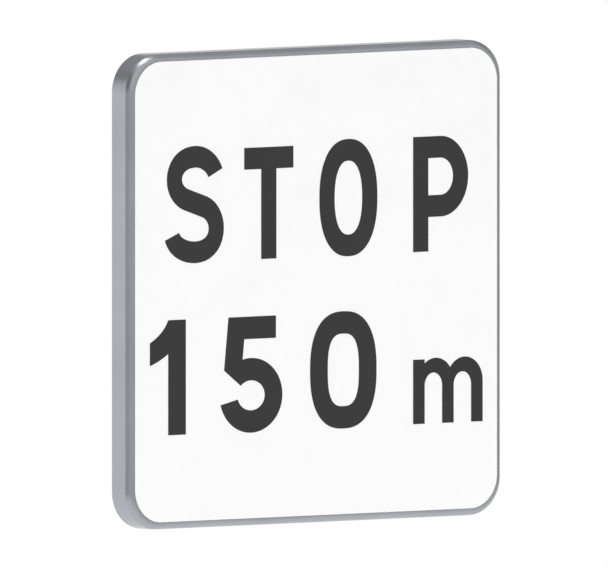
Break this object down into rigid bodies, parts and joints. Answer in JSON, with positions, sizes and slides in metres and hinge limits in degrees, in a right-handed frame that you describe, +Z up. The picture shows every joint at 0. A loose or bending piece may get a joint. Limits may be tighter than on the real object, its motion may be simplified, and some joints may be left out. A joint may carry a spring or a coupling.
{
  "type": "supplementary traffic sign",
  "caption": "Square white supplementary road sign in a shallow pressed metal tray, with a black distance legend and slotted rails across its open back.",
  "frame": {"origin": "centre of the sign, in the plane in which the two rails bear on the post", "axes": "+Z up, +X to the right as the legend is read, +Y back to the post, so the face looks along -Y"},
  "size_m": [0.5, 0.0316, 0.5],
  "materials": {
    "bare_metal": "satin mill finish",
    "white_film": "smooth semi-gloss film",
    "black_film": "smooth low-gloss film"
  },
  "bodies": {
    "root": {"sign_tray": "bare_metal", "white_film": "white_film", "letter_s": "black_film", "letter_t": "black_film", "letter_o": "black_film", "letter_p": "black_film", "digit_1": "black_film", "digit_5": "black_film", "digit_0": "black_film", "letter_m": "black_film", "upper_rail": "bare_metal", "lower_rail": "bare_metal"}
  },
  "joints": []
}
